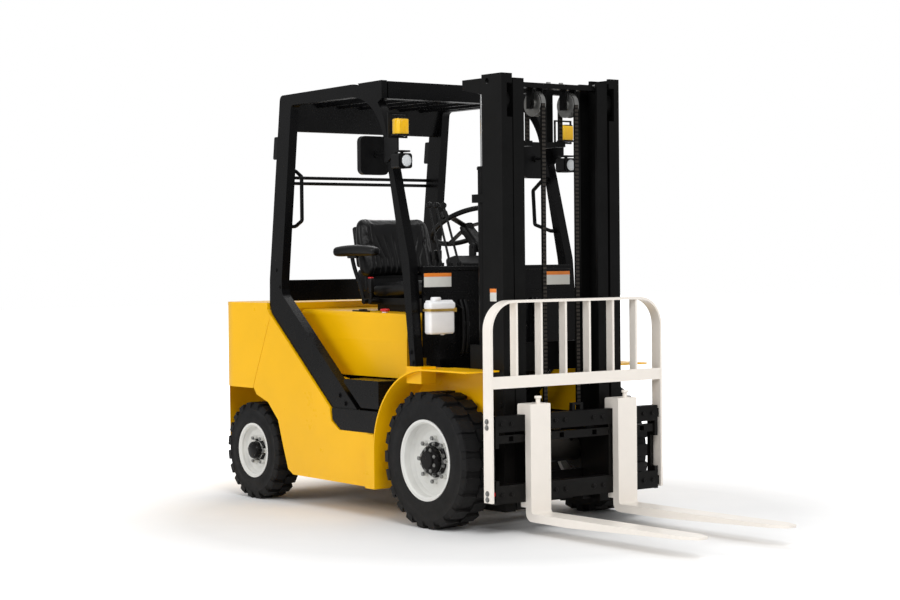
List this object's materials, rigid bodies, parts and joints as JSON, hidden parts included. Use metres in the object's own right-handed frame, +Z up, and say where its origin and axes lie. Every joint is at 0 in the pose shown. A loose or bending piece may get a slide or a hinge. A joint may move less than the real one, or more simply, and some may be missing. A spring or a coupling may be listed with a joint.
{
  "type": "counterbalanced forklift truck",
  "caption": "Counterbalanced ride-on forklift truck: tilting lift mast with fork carriage and load backrest, overhead guard, seat on a hinged hood, steered rear wheels.",
  "frame": {"origin": "centre of the truck's footprint (counterweight to fork tips) on the ground", "axes": "+X forward along the forks, +Y to the driver's left, +Z up"},
  "size_m": [3.635, 1.224, 2.18],
  "materials": {
    "yellow_paint": "gloss",
    "black_paint": "semi-gloss",
    "cream_paint": "satin",
    "grey_casting": "satin",
    "white_rim": "satin",
    "tyre_rubber": "matte",
    "vinyl": "satin",
    "black_plastic": "satin",
    "amber_lens": "gloss",
    "white_plastic": "satin",
    "chain_steel": "oiled",
    "rod_chrome": "polished"
  },
  "bodies": {
    "chassis": {"chassis_frame": "black_paint", "body_sides": "yellow_paint", "counterweight": "yellow_paint", "drive_axle": "grey_casting", "steer_axle": "grey_casting", "engine_block": "grey_casting", "guard_sides": "black_paint", "guard_roof": "black_paint", "guard_rods": "black_paint", "mirrors": "black_plastic", "direction_lamps": "amber_lens", "work_lamps": "black_plastic", "floor_plate": "black_paint", "steps": "black_paint", "cowl": "black_paint", "dash": "black_plastic", "controls": "black_plastic", "brake_reservoir": "white_plastic"},
    "front_wheel_left": {"front_tyre_left": "tyre_rubber", "front_rim_left": "white_rim"},
    "front_wheel_right": {"front_tyre_right": "tyre_rubber", "front_rim_right": "white_rim"},
    "knuckle_l": {"knuckle_left": "grey_casting"},
    "knuckle_r": {"knuckle_right": "grey_casting"},
    "rear_wheel_left": {"rear_tyre_left": "tyre_rubber", "rear_rim_left": "white_rim"},
    "rear_wheel_right": {"rear_tyre_right": "tyre_rubber", "rear_rim_right": "white_rim"},
    "hood_body": {"hood": "yellow_paint", "seat_base": "black_plastic", "seat_cushion": "vinyl", "seat_back": "vinyl", "armrest": "vinyl"},
    "mast": {"mast_outer": "black_paint", "chains_rear": "chain_steel"},
    "inner_stage": {"mast_inner": "black_paint", "chain_pulleys": "chain_steel", "lift_rods": "rod_chrome", "chains_front": "chain_steel"},
    "fork_carriage": {"carriage": "black_paint", "load_backrest": "cream_paint", "forks": "cream_paint"},
    "column": {"steering_wheel": "black_plastic"},
    "tilt_barrel_pair": {"tilt_barrels": "black_paint"},
    "tilt_rod_pair": {"tilt_rods": "rod_chrome"}
  },
  "joints": [
    {"name": "spin_front_left", "type": "hinge", "parent": "chassis", "child": "front_wheel_left", "pos_m": [0.2475, 0.495, 0.329], "axis": [0, 1, 0], "continuous": true},
    {"name": "spin_front_right", "type": "hinge", "parent": "chassis", "child": "front_wheel_right", "pos_m": [0.2475, -0.495, 0.329], "axis": [0, 1, 0], "continuous": true},
    {"name": "steer_left", "type": "hinge", "parent": "chassis", "child": "knuckle_l", "pos_m": [-1.3525, 0.385, 0.262], "axis": [0, 0, 1], "range_deg": [-55, 55]},
    {"name": "steer_right", "type": "hinge", "parent": "chassis", "child": "knuckle_r", "pos_m": [-1.3525, -0.385, 0.262], "axis": [0, 0, 1], "range_deg": [-55, 55]},
    {"name": "spin_rear_left", "type": "hinge", "parent": "knuckle_l", "child": "rear_wheel_left", "pos_m": [-1.3525, 0.475, 0.262], "axis": [0, 1, 0], "continuous": true},
    {"name": "spin_rear_right", "type": "hinge", "parent": "knuckle_r", "child": "rear_wheel_right", "pos_m": [-1.3525, -0.475, 0.262], "axis": [0, 1, 0], "continuous": true},
    {"name": "mast_tilt", "type": "hinge", "parent": "chassis", "child": "mast", "pos_m": [0.2475, 0, 0.329], "axis": [0, 1, 0], "range_deg": [-10, 6]},
    {"name": "lift", "type": "slide", "parent": "mast", "child": "inner_stage", "axis": [0, 0, 1], "range_m": [0, 1.475], "deforming": ["chains_rear"]},
    {"name": "carriage_lift", "type": "slide", "parent": "inner_stage", "child": "fork_carriage", "axis": [0, 0, 1], "range_m": [0, 1.475], "deforming": ["chains_front"]},
    {"name": "tilt_barrel_swing", "type": "hinge", "parent": "chassis", "child": "tilt_barrel_pair", "pos_m": [-0.1725, 0, 0.42], "axis": [0, 1, 0], "range_deg": [-6.2, 3.8]},
    {"name": "tilt_rod_stroke", "type": "slide", "parent": "tilt_barrel_pair", "child": "tilt_rod_pair", "axis": [0.7655, 0, 0.6434], "range_m": [-0.066, 0.041]},
    {"name": "hood_open", "type": "hinge", "parent": "chassis", "child": "hood_body", "pos_m": [-1.1375, 0, 1.012], "axis": [0, -1, 0], "range_deg": [0, 40]},
    {"name": "column_tilt", "type": "hinge", "parent": "chassis", "child": "column", "pos_m": [-0.0375, 0, 1.35], "axis": [0, 1, 0], "range_deg": [0, 44.5]}
  ],
  "couplings": [
    {"joint": "steer_right", "follows": "steer_left", "ratio": 1},
    {"joint": "carriage_lift", "follows": "lift", "ratio": 1},
    {"joint": "tilt_barrel_swing", "follows": "mast_tilt", "ratio": 0.574},
    {"joint": "tilt_rod_stroke", "follows": "mast_tilt", "m_per_rad": 0.345},
    {"joint": "column_tilt", "follows": "hood_open", "ratio": 1.1}
  ]
}
